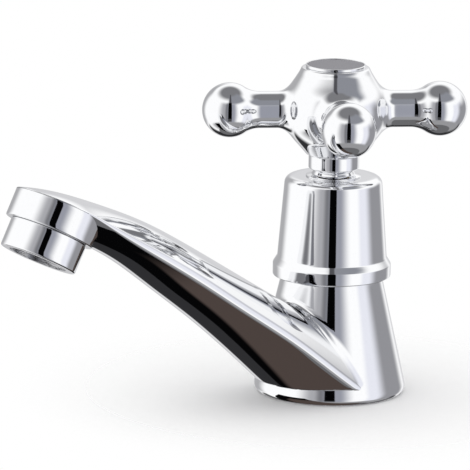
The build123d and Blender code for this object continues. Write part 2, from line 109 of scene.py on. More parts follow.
def as_piece(name, shells, slot, body, *replaced):
    """One mesh object from grids of points in millimetres. Points that meet are merged, which closes the
    seams and poles, the faces are turned outwards, and edges sharper than the limit stay crisp."""
    points = []
    faces = []
    start = 0
    for grid in shells:
        faces.append(grid_faces(grid, start))
        points.append(grid.reshape(-1, 3) * MM)
        start += len(points[-1])
    mesh = bpy.data.meshes.new(name)
    mesh.from_pydata(np.concatenate(points).tolist(), [], np.concatenate(faces).tolist())
    work = bmesh.new()
    work.from_mesh(mesh)
    bmesh.ops.remove_doubles(work, verts=work.verts, dist=2e-6)
    bmesh.ops.dissolve_degenerate(work, edges=work.edges, dist=1e-7)
    bmesh.ops.recalc_face_normals(work, faces=work.faces)
    work.to_mesh(mesh)
    work.free()
    mesh.shade_smooth()
    mesh.set_sharp_from_angle(angle=math.radians(40))
    piece = bpy.data.objects.new(name, mesh)
    bpy.context.scene.collection.objects.link(piece)
    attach(piece, body)
    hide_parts(*replaced)
    return piece


tower_profile = rounded(
    [(inlet_radius, inlet_chamfer_height), (inlet_radius + inlet_chamfer, 0), (groove_inner, 0),
     (groove_inner, groove_depth), (groove_outer, groove_depth), (groove_outer, 0),
     (base_radius, 0), (base_radius, base_wall_height),
     (cone_top_radius, cone_top_z), (spigot_radius, cone_top_z), (spigot_radius, spigot_top_z),
     (inlet_radius, spigot_top_z), (inlet_radius, chamber_top_z), (chamber_radius, chamber_top_z),
     (chamber_radius, seat_z), (waterway_radius, seat_z), (waterway_radius, inlet_depth),
     (inlet_radius, inlet_depth), (inlet_radius, inlet_chamfer_height)],
    [0.1, 0.2, 0.1, 0.1, 0.2, base_edge_round, 4.0, 0.35, 0.1, 0.3, 0.2, 0.1, 0.1, 0.2, 0.2, 0.2, 0.1])
tower = turned(tower_profile)

spout_reach = 119.0
spout_height = 68.5
spout_tilt = math.radians(28)
head_radius = 14.85
arm_foot_z = 5.0
foot_softness = 0.1
stations = np.array([
    # back along the arm, half width, crown, side edge and keel above the head's underside, edge radius
    (0.0, 15.1, 13.0, 9.2, 0.7, 0.5),
    (15.0, 15.9, 15.0, 8.3, 1.3, 1.3),
    (32.0, 17.0, 16.5, 7.0, 1.1, 2.2),
    (52.0, 18.5, 16.4, 5.8, -1.4, 2.6),
    (74.0, 20.1, 15.4, 3.7, -4.6, 2.6),
    (97.0, 21.8, 14.3, 1.7, -9.1, 2.6),
    (120.0, 23.2, 13.2, -1.9, -14.3, 2.6),
    (134.0, 23.9, 12.6, -3.9, -17.4, 2.6),
])
crown_slope = 0.165


def smooth_through(knots, values, at, first_slope=0.0):
    """The cubic spline through values at knots, with a given slope at the first knot and free of bend at
    the last: its second derivatives solve the usual three-term equations, and each span is a cubic."""
    span = np.diff(knots)
    slope = np.diff(values, axis=0) / span[:, None]
    count = len(knots)
    matrix = np.zeros((count, count))
    right = np.zeros_like(values)
    matrix[0, :2] = (2 * span[0], span[0])
    right[0] = 6 * (slope[0] - first_slope)
    inner = np.arange(1, count - 1)
    matrix[inner, inner - 1] = span[:-1]
    matrix[inner, inner] = 2 * (span[:-1] + span[1:])
    matrix[inner, inner + 1] = span[1:]
    right[1:-1] = 6 * np.diff(slope, axis=0)
    matrix[-1, -1] = 1
    bend = np.linalg.solve(matrix, right)
    at = np.asarray(at, float)
    i = np.clip(np.searchsorted(knots, at) - 1, 0, count - 2)
    a = (at - knots[i])[..., None]
    b = (knots[i + 1] - at)[..., None]
    h = span[i][..., None]
    cubic = (bend[i] * b ** 3 + bend[i + 1] * a ** 3) / (6 * h)
    return cubic + (values[i] / h - bend[i] * h / 6) * b + (values[i + 1] / h - bend[i + 1] * h / 6) * a


def from_head(x, back, up):
    """Points of the head's frame in the tap's: back runs down the arm, up is square to the underside.
    y is back times the tilt's cosine plus up times its sine, less the reach, and z is the height less
    back times the sine plus up times the cosine."""
    cosine = math.cos(spout_tilt)
    sine = math.sin(spout_tilt)
    y = -spout_reach + back * cosine + up * sine
    z = spout_height - back * sine + up * cosine
    return np.stack([-x + 0 * y, y, z], axis=-1)


def arm_section(back, facing):
    """A section of the spout: an arch above and a hull below, both arcs of circles, that run into a
    small arc at each side edge. A point is found by the way its skin faces, as an angle from level.
    The centre of the small arc lies its radius inside both circles."""
    sizes = smooth_through(stations[:, 0], stations[:, 1:], back, np.array([0, crown_slope, 0, 0, 0]))
    width, crown, side, keel, edge = np.moveaxis(sizes, -1, 0)
    arch = (width ** 2 + (crown - side) ** 2) / (2 * (crown - side))
    hull = (width ** 2 + (side - keel) ** 2) / (2 * (side - keel))
    arch_centre = crown - arch
    hull_centre = keel + hull
    apart = hull_centre - arch_centre
    above = ((arch - edge) ** 2 - (hull - edge) ** 2 + apart ** 2) / (2 * apart)
    edge_out = np.sqrt((arch - edge) ** 2 - above ** 2)
    edge_up = arch_centre + above
    lean = np.arcsin(np.sin(facing))
    on_arch = lean > np.arctan2(above, edge_out)
    on_hull = lean < np.arctan2(edge_up - hull_centre, edge_out)
    radius = np.where(on_arch, arch, np.where(on_hull, hull, edge))
    middle_out = np.where(on_arch | on_hull, 0, edge_out) * np.sign(np.cos(facing))
    middle_up = np.where(on_arch, arch_centre, np.where(on_hull, hull_centre, edge_up))
    return middle_out + radius * np.cos(facing), middle_up + radius * np.sin(facing)


def arm_point(back, facing):
    """The spout's skin in the tap's frame, bent level where it comes down to the foot's height: what
    stands above the foot is averaged with the root of its own square plus the softness."""
    out, up = arm_section(back, facing)
    skin = from_head(out, back, up)
    above = skin[..., 2] - arm_foot_z
    skin[..., 2] = arm_foot_z + (above + np.sqrt(above ** 2 + foot_softness)) / 2
    return skin


def arm_end(facing, radius):
    """How far back each line of the skin runs: to a cylinder round the tower's axis, found by stepping."""
    back = np.full_like(facing, stations[-1, 0])
    for _ in range(12):
        skin = arm_point(back, facing)
        stop = -np.sqrt(np.clip(radius ** 2 - skin[..., 0] ** 2, 0.5, None))
        back = np.minimum(back + (stop - skin[..., 1]) / math.cos(spout_tilt), stations[-1, 0])
    return back


wall_inside = 14.2
drum_inside = 13.4
upper_facing = np.linspace(0, math.pi, 121)
lower_facing = np.linspace(2 * math.pi, math.pi, 121)
upper_end = arm_end(upper_facing, wall_inside)
lower_end = arm_end(lower_facing, wall_inside)
along = np.linspace(0, 1, 122)[:, None]
upper_arm = arm_point(along * upper_end, upper_facing[None, :])

# Ahead of the head's axis the first section's arch is carried half round that axis, which makes the dome.
# Its height over the rim is drawn down towards the front, so the spout's slope runs on over the axis.
dome_rows = len(upper_facing) // 2
dome_turn = np.linspace(math.pi / 2, 0, dome_rows + 1)[:-1, None]
arch_out, arch_up = arm_section(np.zeros_like(upper_facing), upper_facing)
rim_height = arch_up[0]
dome_back = -np.abs(arch_out) * np.sin(dome_turn)
dome_drop = crown_slope * dome_back / (1 - dome_back / head_radius)
dome_up = rim_height + (arch_up - rim_height) * (1 + dome_drop / (arch_up.max() - rim_height))
dome = from_head(arch_out * np.cos(dome_turn), dome_back, dome_up)
upper = np.concatenate([dome, upper_arm])

# The hull starts inside the head's drum, on a smaller circle round its axis.
lower_start = np.zeros_like(lower_facing)
for _ in range(8):
    hull_out = arm_section(lower_start, lower_facing)[0]
    lower_start = np.sqrt(np.clip(drum_inside ** 2 - hull_out ** 2, 0, None))
lower = arm_point(lower_start + along * (lower_end - lower_start), lower_facing[None, :])
rim = np.concatenate([upper[dome_rows::-1, 0], upper[1:dome_rows + 1, -1]])
roof = from_head(-lower[0, :, 0], lower_start, rim_height + 0 * lower_start)
front_close = np.stack([rim, roof, lower[0]])
end_close = np.stack([upper[-1], lower[-1]])

head_chamber_radius = 10.5
head_chamber_height = 8.8
outlet_thread_radius = 12.0
outlet_thread_length = 5.0
drum_profile = rounded(
    [(0, head_chamber_height), (head_chamber_radius, head_chamber_height),
     (head_chamber_radius, outlet_thread_length), (outlet_thread_radius, outlet_thread_length),
     (outlet_thread_radius, 0), (head_radius, 0), (head_radius, rim_height - 0.05), (0, rim_height + 0.5)],
    [0.1, 0.1, 0.1, 0.15, 0.45, 0.1])
drum = turned(drum_profile)
drum = from_head(drum[..., 0], drum[..., 1], drum[..., 2])

# The root of the spout: where its skin meets the cone the casting has a hollow fillet, which touches both.
# The fillet fades out at its two ends, low on the sides.
fillet_reach = 3.2
fillet_fullness = 0.62
cone_slope = (base_radius - cone_top_radius) / (cone_top_z - base_wall_height)


def outside_cone(point):
    """How far a point stands off the cone, measured level."""
    cone = base_radius - cone_slope * (point[..., 2] - base_wall_height)
    return np.hypot(point[..., 0], point[..., 1]) - cone


def cone_normal(point):
    """The cone's outward normal: level away from the axis, tipped up by the cone's slope."""
    level = np.hypot(point[..., 0], point[..., 1])
    normal = np.stack([point[..., 0] / level, point[..., 1] / level, cone_slope + 0 * level], axis=-1)
    return normal / np.linalg.norm(normal, axis=-1, keepdims=True)


def fillet_curve(t, begin, begin_hand, end_hand, end):
    """The cubic curve from begin to end, drawn towards a hand at each end: the four points weigh
    (1 - t)^3, 3 t (1 - t)^2, 3 t^2 (1 - t) and t^3 at the share t of the way."""
    return ((1 - t) ** 3 * begin + 3 * t * (1 - t) ** 2 * begin_hand
            + 3 * t ** 2 * (1 - t) * end_hand + t ** 3 * end)


# Each line of the skin is cut by halving until it meets the cone.
clear_of_cone = 60.0
nudge = 0.1
root_facing = np.linspace(math.radians(14), math.radians(166), 153)
near = np.full_like(root_facing, clear_of_cone)
far = np.full_like(root_facing, stations[-1, 0])
for _ in range(40):
    middle = (near + far) / 2
    out = outside_cone(arm_point(middle, root_facing)) > 0
    near = np.where(out, middle, near)
    far = np.where(out, far, middle)
meeting = arm_point(near, root_facing)
along_root = np.gradient(meeting, axis=0)
along_root /= np.linalg.norm(along_root, axis=-1, keepdims=True)
down_arm = meeting - arm_point(near - nudge, root_facing)
down_arm /= np.linalg.norm(down_arm, axis=-1, keepdims=True)
crossing = np.linalg.norm(np.cross(down_arm, along_root), axis=-1)
taper = np.sin(math.pi * np.linspace(0, 1, len(root_facing))) ** 0.5
arm_touch = arm_point(near - fillet_reach * taper / np.maximum(crossing, 0.3), root_facing)
up_cone = np.cross(cone_normal(meeting), along_root)
up_cone *= np.sign(up_cone[:, 2:])
cone_touch = meeting + up_cone * (fillet_reach * taper)[:, None]
cone_touch[:, :2] *= 1 - (outside_cone(cone_touch) / np.hypot(cone_touch[:, 0], cone_touch[:, 1]))[:, None]
arm_hand = arm_touch + fillet_fullness * (meeting - arm_touch)
cone_way = meeting - cone_touch
touch_normal = cone_normal(cone_touch)
cone_way -= (cone_way * touch_normal).sum(-1, keepdims=True) * touch_normal
cone_hand = cone_touch + fillet_fullness * cone_way
t = np.linspace(0, 1, 15)[:, None, None]
hollow = fillet_curve(t, arm_touch, arm_hand, cone_hand, cone_touch)
inside_depth = 0.5
inside = meeting - inside_depth * taper[:, None] * cone_normal(meeting)
root = np.concatenate([hollow, inside[None], arm_touch[None]])

casting = as_piece("body_casting", [tower, upper, lower, front_close, end_close, drum, root],
                   "chrome_casting", "tap", "tap_body")


def plating_group():
    """Bright plating on a polished casting: a roughness that drifts a little, a tone that drifts less,
    and a height for the slow waves that the polishing wheel leaves."""
    group = bpy.data.node_groups.new("bright_plating", "ShaderNodeTree")
    sockets = group.interface
    for name in ("Tone", "Second Tone"):
        sockets.new_socket(name, in_out="INPUT", socket_type="NodeSocketColor")
    for name in ("Roughness", "Drift", "Scale"):
        sockets.new_socket(name, in_out="INPUT", socket_type="NodeSocketFloat")
    sockets.new_socket("Color", in_out="OUTPUT", socket_type="NodeSocketColor")
    for name in ("Roughness", "Height"):
        sockets.new_socket(name, in_out="OUTPUT", socket_type="NodeSocketFloat")
    nodes = group.nodes
    link = group.links.new
    given = nodes.new("NodeGroupInput")
    result = nodes.new("NodeGroupOutput")
    place = nodes.new("ShaderNodeTexCoord")
    fine = nodes.new("ShaderNodeTexNoise")
    fine.inputs["Detail"].default_value = 4.0
    link(place.outputs["Object"], fine.inputs["Vector"])
    link(given.outputs["Scale"], fine.inputs["Scale"])
    slow = nodes.new("ShaderNodeTexNoise")
    slow.inputs["Scale"].default_value = 45.0
    slow.inputs["Detail"].default_value = 1.0
    link(place.outputs["Object"], slow.inputs["Vector"])
    mix = nodes.new("ShaderNodeMix")
    mix.data_type = "RGBA"
    link(fine.outputs["Fac"], mix.inputs["Factor"])
    link(given.outputs["Tone"], mix.inputs["A"])
    link(given.outputs["Second Tone"], mix.inputs["B"])
    spread = nodes.new("ShaderNodeMath")
    spread.operation = "MULTIPLY_ADD"
    link(fine.outputs["Fac"], spread.inputs[0])
    link(given.outputs["Drift"], spread.inputs[1])
    link(given.outputs["Roughness"], spread.inputs[2])
    link(mix.outputs["Result"], result.inputs["Color"])
    link(spread.outputs["Value"], result.inputs["Roughness"])
    link(slow.outputs["Fac"], result.inputs["Height"])
    return group


bright_plating = plating_group()


def plated(name, tone, second_tone, roughness, drift, scale, wave):
    """A metal that mirrors its surroundings, with the plating group's tone, roughness and slow waves."""
    material = bpy.data.materials.new(name)
    material.use_nodes = True
    nodes = material.node_tree.nodes
    link = material.node_tree.links.new
    shader = nodes["Principled BSDF"]
    shader.inputs["Metallic"].default_value = 1.0
    plating = nodes.new("ShaderNodeGroup")
    plating.node_tree = bright_plating
    plating.inputs["Tone"].default_value = (*tone, 1)
    plating.inputs["Second Tone"].default_value = (*second_tone, 1)
    plating.inputs["Roughness"].default_value = roughness
    plating.inputs["Drift"].default_value = drift
    plating.inputs["Scale"].default_value = scale
    bump = nodes.new("ShaderNodeBump")
    bump.inputs["Strength"].default_value = 1.0
    bump.inputs["Distance"].default_value = wave * MM
    link(plating.outputs["Color"], shader.inputs["Base Color"])
    link(plating.outputs["Roughness"], shader.inputs["Roughness"])
    link(plating.outputs["Height"], bump.inputs["Height"])
    link(bump.outputs["Normal"], shader.inputs["Normal"])
    return material


chrome_tone = (0.90, 0.905, 0.915)
casting_chrome = plated("casting_chrome", chrome_tone, (0.87, 0.875, 0.89), 0.025, 0.03, 900.0, 0.06)
casting.data.materials.append(casting_chrome)

# The aerator's sleeve: a thin turned brass ring screwed up into the head, plated as the casting is, with
# a small lip turned in at its mouth to hold the outlet plate.
sleeve_radius = 12.75
sleeve_length = 9.6
sleeve_bore = 10.9
sleeve_thread_radius = 11.9
sleeve_thread_top = 3.8
sleeve_shoulder = -0.05
mouth_radius = 9.6
mouth_lip_top = -8.3
sleeve_profile = rounded(
    [(mouth_radius, -sleeve_length), (sleeve_radius, -sleeve_length), (sleeve_radius, sleeve_shoulder),
     (sleeve_thread_radius, sleeve_shoulder), (sleeve_thread_radius, sleeve_thread_top),
     (sleeve_bore, sleeve_thread_top), (sleeve_bore, mouth_lip_top), (mouth_radius, mouth_lip_top),
     (mouth_radius, -sleeve_length)],
    [0.55, 0.3, 0.05, 0.2, 0.1, 0.05, 0.1])
sleeve = turned(sleeve_profile)
sleeve = from_head(sleeve[..., 0], sleeve[..., 1], sleeve[..., 2])
sleeve_piece = as_piece("aerator_sleeve", [sleeve], "chrome_sleeve", "tap", "aerator_housing")
turned_chrome = plated("turned_chrome", chrome_tone, (0.88, 0.885, 0.90), 0.02, 0.02, 1500.0, 0.01)
sleeve_piece.data.materials.append(turned_chrome)

# The bell shroud: a deep drawn brass cover with a beaded ring at its foot. It drops over the headwork,
# stands on the body's spigot and is plated inside and out.
bell_foot_z = 38.9
bell_top_z = 72.0
bell_neck_radius = 5.3
shoulder_radius = 15.9
ring_radius = 19.4
ring_top_z = 42.9
step_radius = 18.0
step_top_z = 45.2
bell_inside = 16.0
ledge_radius = 14.7
ledge_top_z = 44.0
narrowing_z = 47.2
haunch_radius = 13.9
haunch_z = 68.0
roof_radius = 11.9
roof_z = 70.0
bell_profile = rounded(
    [(bell_inside, bell_foot_z), (ring_radius, bell_foot_z), (ring_radius, ring_top_z),
     (step_radius, step_top_z), (shoulder_radius, bell_top_z), (bell_neck_radius, bell_top_z),
     (bell_neck_radius, roof_z), (roof_radius, roof_z), (haunch_radius, haunch_z),
     (bell_inside, narrowing_z), (ledge_radius, ledge_top_z), (ledge_radius, spigot_top_z),
     (bell_inside, spigot_top_z), (bell_inside, bell_foot_z)],
    [0.5, 1.0, 1.6, 2.4, 0.2, 0.2, 0.5, 1.0, 1.0, 0.5, 0.2, 0.2])
bell = as_piece("bell_shroud", [turned(bell_profile)], "chrome_shroud", "tap", "shroud")
bell.data.materials.append(turned_chrome)

# The ring nut that holds the bell down: a small collar with a flared foot, turned from brass bar and
# plated. It sits on the bell's top, round the neck of the headwork.
nut_bore = 5.25
nut_foot_radius = 9.1
nut_foot_top_z = 72.4
nut_flare_radius = 7.2
nut_flare_z = 72.9
nut_neck_radius = 6.4
nut_top_z = 74.4
nut_profile = rounded(
    [(nut_bore, bell_top_z), (nut_foot_radius, bell_top_z), (nut_foot_radius, nut_foot_top_z),
     (nut_flare_radius, nut_flare_z), (nut_neck_radius, nut_top_z), (nut_bore, nut_top_z),
     (nut_bore, bell_top_z)],
    [0.1, 0.15, 0.5, 0.2, 0.1])
nut = as_piece("bell_nut", [turned(nut_profile, 160)], "chrome_nut", "tap", "shroud_nut")
nut.data.materials.append(turned_chrome)

# The cross handle: one brass casting of a hub on a short collar and four arms that end in balls. It is
# bored for its broached bush and for the cap, polished all over and plated.
collar_radius = 8.3
collar_bottom_z = 74.7
collar_top_z = 79.2
arm_axis_z = 94.3
arm_radius = 6.05
ball_radius = 9.0
ball_centre = 34.7
ball_blend = 9.0
root_reach = 3.0
root_fullness = 0.6
handle_turn = math.radians(57)
hub_top_radius = 11.1
hub_top_z = 108.3
hub_core = 12.0
cap_bore = 8.6
cap_bore_floor_z = 88.0
bush_bore = 6.4
flank = np.array([(9.3, 79.6), (11.4, 82.0), (14.9, 86.2), (17.0, 91.0), (17.3, 95.4), (16.2, 99.8),
                  (13.8, 103.6), (11.9, 106.6)])
flank_far = np.append(0, np.cumsum(np.linalg.norm(np.diff(flank, axis=0), axis=1)))


def free_spline(knots, values, at):
    """The cubic spline through values at knots that also starts with next to no bend: knots and values
    are mirrored through the first ones, so the curve runs straight on there."""
    mirrored_knots = np.concatenate([2 * knots[0] - knots[:0:-1], knots])
    mirrored = np.concatenate([2 * values[0] - values[:0:-1], values])
    return smooth_through(mirrored_knots, mirrored, at)


flank_line = free_spline(flank_far, flank, np.linspace(0, flank_far[-1], 60))
foot_line = rounded(
    [(bush_bore, collar_bottom_z), (collar_radius, collar_bottom_z), (collar_radius, collar_top_z),
     tuple(flank_line[0])],
    [0.4, 0.3])
top_line = rounded(
    [tuple(flank_line[-1]), (hub_top_radius, hub_top_z), (cap_bore, hub_top_z),
     (cap_bore, cap_bore_floor_z), (bush_bore, cap_bore_floor_z), (bush_bore, collar_bottom_z)],
    [0.6, 0.15, 0.1, 0.1])
hub = turned(np.concatenate([foot_line[:-1], flank_line, top_line[1:]]))


def hub_radius(height):
    """The hub's flank at a height, read off its spline."""
    return np.interp(height, flank_line[:, 1], flank_line[:, 0])


# Each arm's outline is the ball's circle, run into the straight shank by a hollow circle that touches both.
rise = ball_radius + ball_blend
drop = arm_radius + ball_blend
blend_back = math.sqrt(rise ** 2 - drop ** 2)
blend_turn = math.asin(blend_back / rise)
tip = np.linspace(0, math.pi / 2 + blend_turn, 40)
ball_line = np.stack([ball_centre + ball_radius * np.cos(tip), ball_radius * np.sin(tip)], axis=-1)
back_turn = np.linspace(blend_turn, 0, 24)[1:]
blend_line = np.stack([ball_centre - blend_back + ball_blend * np.sin(back_turn),
                       drop - ball_blend * np.cos(back_turn)], axis=-1)
around = np.linspace(0, 2 * math.pi, 145)
side_way = np.cos(around)
up_way = np.sin(around)


def on_hub(reach):
    """Where lines at a distance from the arm's axis meet the hub: out is the root of the hub's radius
    squared less the step aside squared."""
    height = arm_axis_z + reach * up_way
    aside = reach * side_way
    out = np.sqrt(np.clip(hub_radius(height) ** 2 - aside ** 2, 0, None))
    return np.stack([out, aside, height], axis=-1)


meets = on_hub(arm_radius)
leaves = meets + np.array([root_reach, 0, 0])
landing = arm_radius + root_reach
lands = on_hub(landing)
hub_way = (on_hub(landing + nudge / 2) - on_hub(landing - nudge / 2)) / nudge
leave_hand = leaves - np.array([root_fullness * root_reach, 0, 0])
land_hand = lands - root_fullness * root_reach * hub_way
t = np.linspace(0, 1, 17)[1:, None, None]
fillet_rows = fillet_curve(t, leaves, leave_hand, land_hand, lands)
lines = np.concatenate([ball_line, blend_line])
arm_rows = np.stack([
    lines[:, :1] + 0 * around, lines[:, 1:] * side_way, arm_axis_z + lines[:, 1:] * up_way], axis=-1)
shank = arm_rows[-1] + np.linspace(0, 1, 8)[1:, None, None] * (leaves - arm_rows[-1])
buried = lands * [0, 1, 1] + [hub_core, 0, 0]
buried_middle = np.zeros_like(buried) + [hub_core, 0, arm_axis_z]
arm = np.concatenate([arm_rows, shank, fillet_rows, buried[None], buried_middle[None]])


def turned_by(grid, angle):
    """The grid turned about the tap's axis: x is x times cosine less y times sine, and y is x times
    sine plus y times cosine."""
    x = grid[..., 0] * math.cos(angle) - grid[..., 1] * math.sin(angle)
    y = grid[..., 0] * math.sin(angle) + grid[..., 1] * math.cos(angle)
    return np.stack([x, y, grid[..., 2]], axis=-1)


arms = [turned_by(arm, handle_turn + quarter * math.pi / 2) for quarter in range(4)]
handle = as_piece("cross_handle", [hub, *arms], "chrome_handle", "turning_handle", "handle")
handle.data.materials.append(casting_chrome)

# The cap: a turned brass button with a thin raised rim round its disc, plated. It is pressed into the
# hub's bore, where a rubber ring grips its skirt.
cap_radius = 9.8
cap_top_z = 109.3
rim_inside = 9.3
disc_seat_z = 108.75
skirt_radius = 8.55
skirt_inside = 6.95
skirt_foot_z = 102.8
skirt_roof_z = 108.2
cap_profile = rounded(
    [(0, disc_seat_z), (rim_inside, disc_seat_z), (rim_inside, cap_top_z), (cap_radius, cap_top_z),
     (cap_radius, hub_top_z), (skirt_radius, hub_top_z), (skirt_radius, skirt_foot_z),
     (skirt_inside, skirt_foot_z), (skirt_inside, skirt_roof_z), (0, skirt_roof_z)],
    [0.05, 0.15, 0.24, 0.2, 0.05, 0.3, 0.1, 0.1])
cap = as_piece("cap_button", [turned(cap_profile, 160)], "chrome_cap", "turning_handle", "handle_cap")
cap.data.materials.append(turned_chrome)


# What the CAD pieces are made of: the plain disc in the cap, the perforated outlet plate and all that
# the tap holds inside, each in its own stuff: brass, steel, rubber, plastic, ceramic and pressed fibre.
def solid_stuff(name, tone, second_tone, metallic, roughness, drift, scale, grain):
    """A plain stuff with a fine grain: its two tones and its roughness drift with the plating group's
    noise, and the same noise stands up as a small grain."""
    material = plated(name, tone, second_tone, roughness, drift, scale, grain)
    material.node_tree.nodes["Principled BSDF"].inputs["Metallic"].default_value = metallic
    return material


stuffs = {name: solid_stuff(name, *kind) for name, *kind in (
    # stuff, tone, second tone, metallic, roughness, drift, scale and grain in millimetres
    ("satin_disc", (0.16, 0.155, 0.18), (0.20, 0.195, 0.22), 0.85, 0.28, 0.10, 2500.0, 0.02),
    ("steel_mesh", (0.42, 0.42, 0.43), (0.50, 0.50, 0.51), 1.0, 0.28, 0.15, 3000.0, 0.02),
    ("brass", (0.78, 0.56, 0.24), (0.70, 0.48, 0.19), 1.0, 0.26, 0.18, 1500.0, 0.03),
    ("steel", (0.60, 0.60, 0.61), (0.52, 0.52, 0.54), 1.0, 0.25, 0.15, 1800.0, 0.02),
    ("black_rubber", (0.020, 0.020, 0.021), (0.035, 0.035, 0.036), 0, 0.60, 0.2, 3000.0, 0.05),
    ("white_plastic", (0.80, 0.80, 0.78), (0.74, 0.74, 0.72), 0, 0.40, 0.15, 1500.0, 0.03),
    ("fibre", (0.42, 0.10, 0.07), (0.30, 0.07, 0.05), 0, 0.75, 0.2, 2500.0, 0.08),
    ("ceramic", (0.85, 0.84, 0.80), (0.78, 0.77, 0.73), 0, 0.22, 0.1, 1200.0, 0.01),
)}
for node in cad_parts.values():
    for slot in node.material_slots:
        stuff = stuffs.get(slot.material.name if slot.material else "")
        if stuff:
            slot.link = "OBJECT"
            slot.material = stuff

# The studio: a pale floor that fades into a white surround, and painted reflections that only the plating
# mirrors: a round glowing white tent with a dark gap and soft grey bands, and a dark glowing slab low under
# the spout.
floor_radius = 0.30
floor_level = -0.0001
turn = np.linspace(0, 2 * math.pi, 65)[None, :]
far_out = np.linspace(0, floor_radius, 12)[:, None]
floor_x = far_out * np.cos(turn)
floor_y = far_out * np.sin(turn)
floor_grid = np.stack([floor_x, floor_y, floor_level + 0 * floor_x], axis=-1)


def stage_object(name, grid, material):
    """A stage object from a grid of points in metres."""
    mesh = bpy.data.meshes.new(name)
    mesh.from_pydata(grid.reshape(-1, 3).tolist(), [], grid_faces(grid).tolist())
    mesh.shade_smooth()
    obj = bpy.data.objects.new(name, mesh)
    bpy.context.scene.collection.objects.link(obj)
    obj.data.materials.append(material)
    return obj


def mirrored_only(obj):
    """Leaves a stage object to the plating: no camera, lit surface or shadow knows of it."""
    obj.visible_camera = False
    obj.visible_diffuse = False
    obj.visible_shadow = False
    obj.visible_transmission = False


floor_material = bpy.data.materials.new("pale_floor")
floor_material.use_nodes = True
nodes = floor_material.node_tree.nodes
link = floor_material.node_tree.links.new
floor_shader = nodes["Principled BSDF"]
floor_shader.inputs["Base Color"].default_value = (0.97, 0.97, 0.97, 1)
floor_shader.inputs["Roughness"].default_value = 0.9
floor_shader.inputs["Specular IOR Level"].default_value = 0.0
place = nodes.new("ShaderNodeTexCoord")
length = nodes.new("ShaderNodeVectorMath")
length.operation = "LENGTH"
link(place.outputs["Object"], length.inputs[0])
fade = nodes.new("ShaderNodeMapRange")
fade.interpolation_type = "SMOOTHSTEP"
fade.inputs["From Min"].default_value = 0.02
fade.inputs["From Max"].default_value = 0.11
fade.inputs["To Min"].default_value = 1.0
fade.inputs["To Max"].default_value = 0.0
link(length.outputs["Value"], fade.inputs["Value"])
link(fade.outputs["Result"], floor_shader.inputs["Alpha"])
floor = stage_object("floor", floor_grid, floor_material)
floor.visible_glossy = False


def linear(shade):
    """The light value of a display shade from 0 to 255: a straight foot, and above it the share, a
    little raised, to the power of 2.4."""
    share = shade / 255
    return share / 12.92 if share <= 0.04045 else ((share + 0.055) / 1.055) ** 2.4


plating_tone = 0.9


def mirrored(shade):
    """The colour of a band of painted reflection that the plating shows in this display shade: its
    light over the plating's tone."""
    return (*(linear(part) / plating_tone for part in shade), 1)


def glowing(name):
    """A material that only gives out light, with its nodes and its Emission shader."""
    material = bpy.data.materials.new(name)
    material.use_nodes = True
    nodes = material.node_tree.nodes
    nodes.remove(nodes["Principled BSDF"])
    light = nodes.new("ShaderNodeEmission")
    material.node_tree.links.new(light.outputs["Emission"], nodes["Material Output"].inputs["Surface"])
    return material, nodes, material.node_tree.links.new, light


reflection_edges = ("Middle", "Half Width", "Side Fade", "Bottom", "Top", "End Fade")


def painted_reflection_group():
    """One painted reflection band over what is behind it. It covers the places that lie across within its
    half width of its middle, and up between its bottom and top, and fades out beyond its edges by a
    smooth step. Across goes round at 180, as degrees do."""
    group = bpy.data.node_groups.new("soft_painted_reflection", "ShaderNodeTree")
    sockets = group.interface
    sockets.new_socket("Behind", in_out="INPUT", socket_type="NodeSocketColor")
    sockets.new_socket("Shade", in_out="INPUT", socket_type="NodeSocketColor")
    for name in ("Across", "Up", *reflection_edges):
        sockets.new_socket(name, in_out="INPUT", socket_type="NodeSocketFloat")
    sockets.new_socket("Color", in_out="OUTPUT", socket_type="NodeSocketColor")
    nodes = group.nodes
    link = group.links.new
    given = nodes.new("NodeGroupInput")

    def reckon(operation, *values):
        """The result of one operation on numbers and sockets."""
        step = nodes.new("ShaderNodeMath")
        step.operation = operation
        for socket, value in zip(step.inputs, values):
            if isinstance(value, float):
                socket.default_value = value
            else:
                link(value, socket)
        return step.outputs["Value"]

    def covered(value, clear, full):
        """The band's cover of painted reflection: 0 where the value is clear, 1 where it is full, and
        between them 3 s^2 - 2 s^3 at the share s of the way."""
        step = nodes.new("ShaderNodeMapRange")
        step.interpolation_type = "SMOOTHSTEP"
        link(value, step.inputs["Value"])
        link(clear, step.inputs["From Min"])
        link(full, step.inputs["From Max"])
        return step.outputs["Result"]

    aside = reckon("SUBTRACT", given.outputs["Across"], given.outputs["Middle"])
    aside = reckon("ABSOLUTE", reckon("WRAP", aside, 180.0, -180.0))
    side_clear = reckon("ADD", given.outputs["Half Width"], given.outputs["Side Fade"])
    low_clear = reckon("SUBTRACT", given.outputs["Bottom"], given.outputs["End Fade"])
    high_clear = reckon("ADD", given.outputs["Top"], given.outputs["End Fade"])
    cover = reckon("MULTIPLY", covered(aside, side_clear, given.outputs["Half Width"]),
                   covered(given.outputs["Up"], low_clear, given.outputs["Bottom"]))
    cover = reckon("MULTIPLY", cover, covered(given.outputs["Up"], high_clear, given.outputs["Top"]))
    mix = nodes.new("ShaderNodeMix")
    mix.data_type = "RGBA"
    link(cover, mix.inputs["Factor"])
    link(given.outputs["Behind"], mix.inputs["A"])
    link(given.outputs["Shade"], mix.inputs["B"])
    link(mix.outputs["Result"], nodes.new("NodeGroupOutput").inputs["Color"])
    return group


def hang(nodes, link, across, up, behind, painted_band):
    """Places one painted reflection band over what is behind it: a plain colour or another's output."""
    name, shade, *edges = painted_band
    piece = nodes.new("ShaderNodeGroup")
    piece.name = name
    piece.node_tree = soft_painted_reflection
    piece.inputs["Shade"].default_value = mirrored(shade)
    link(across, piece.inputs["Across"])
    link(up, piece.inputs["Up"])
    for socket, edge in zip(reflection_edges, edges):
        piece.inputs[socket].default_value = edge
    if isinstance(behind, tuple):
        piece.inputs["Behind"].default_value = behind
    else:
        link(behind, piece.inputs["Behind"])
    return piece.outputs["Color"]


soft_painted_reflection = painted_reflection_group()
tent_white = (254, 254, 254)
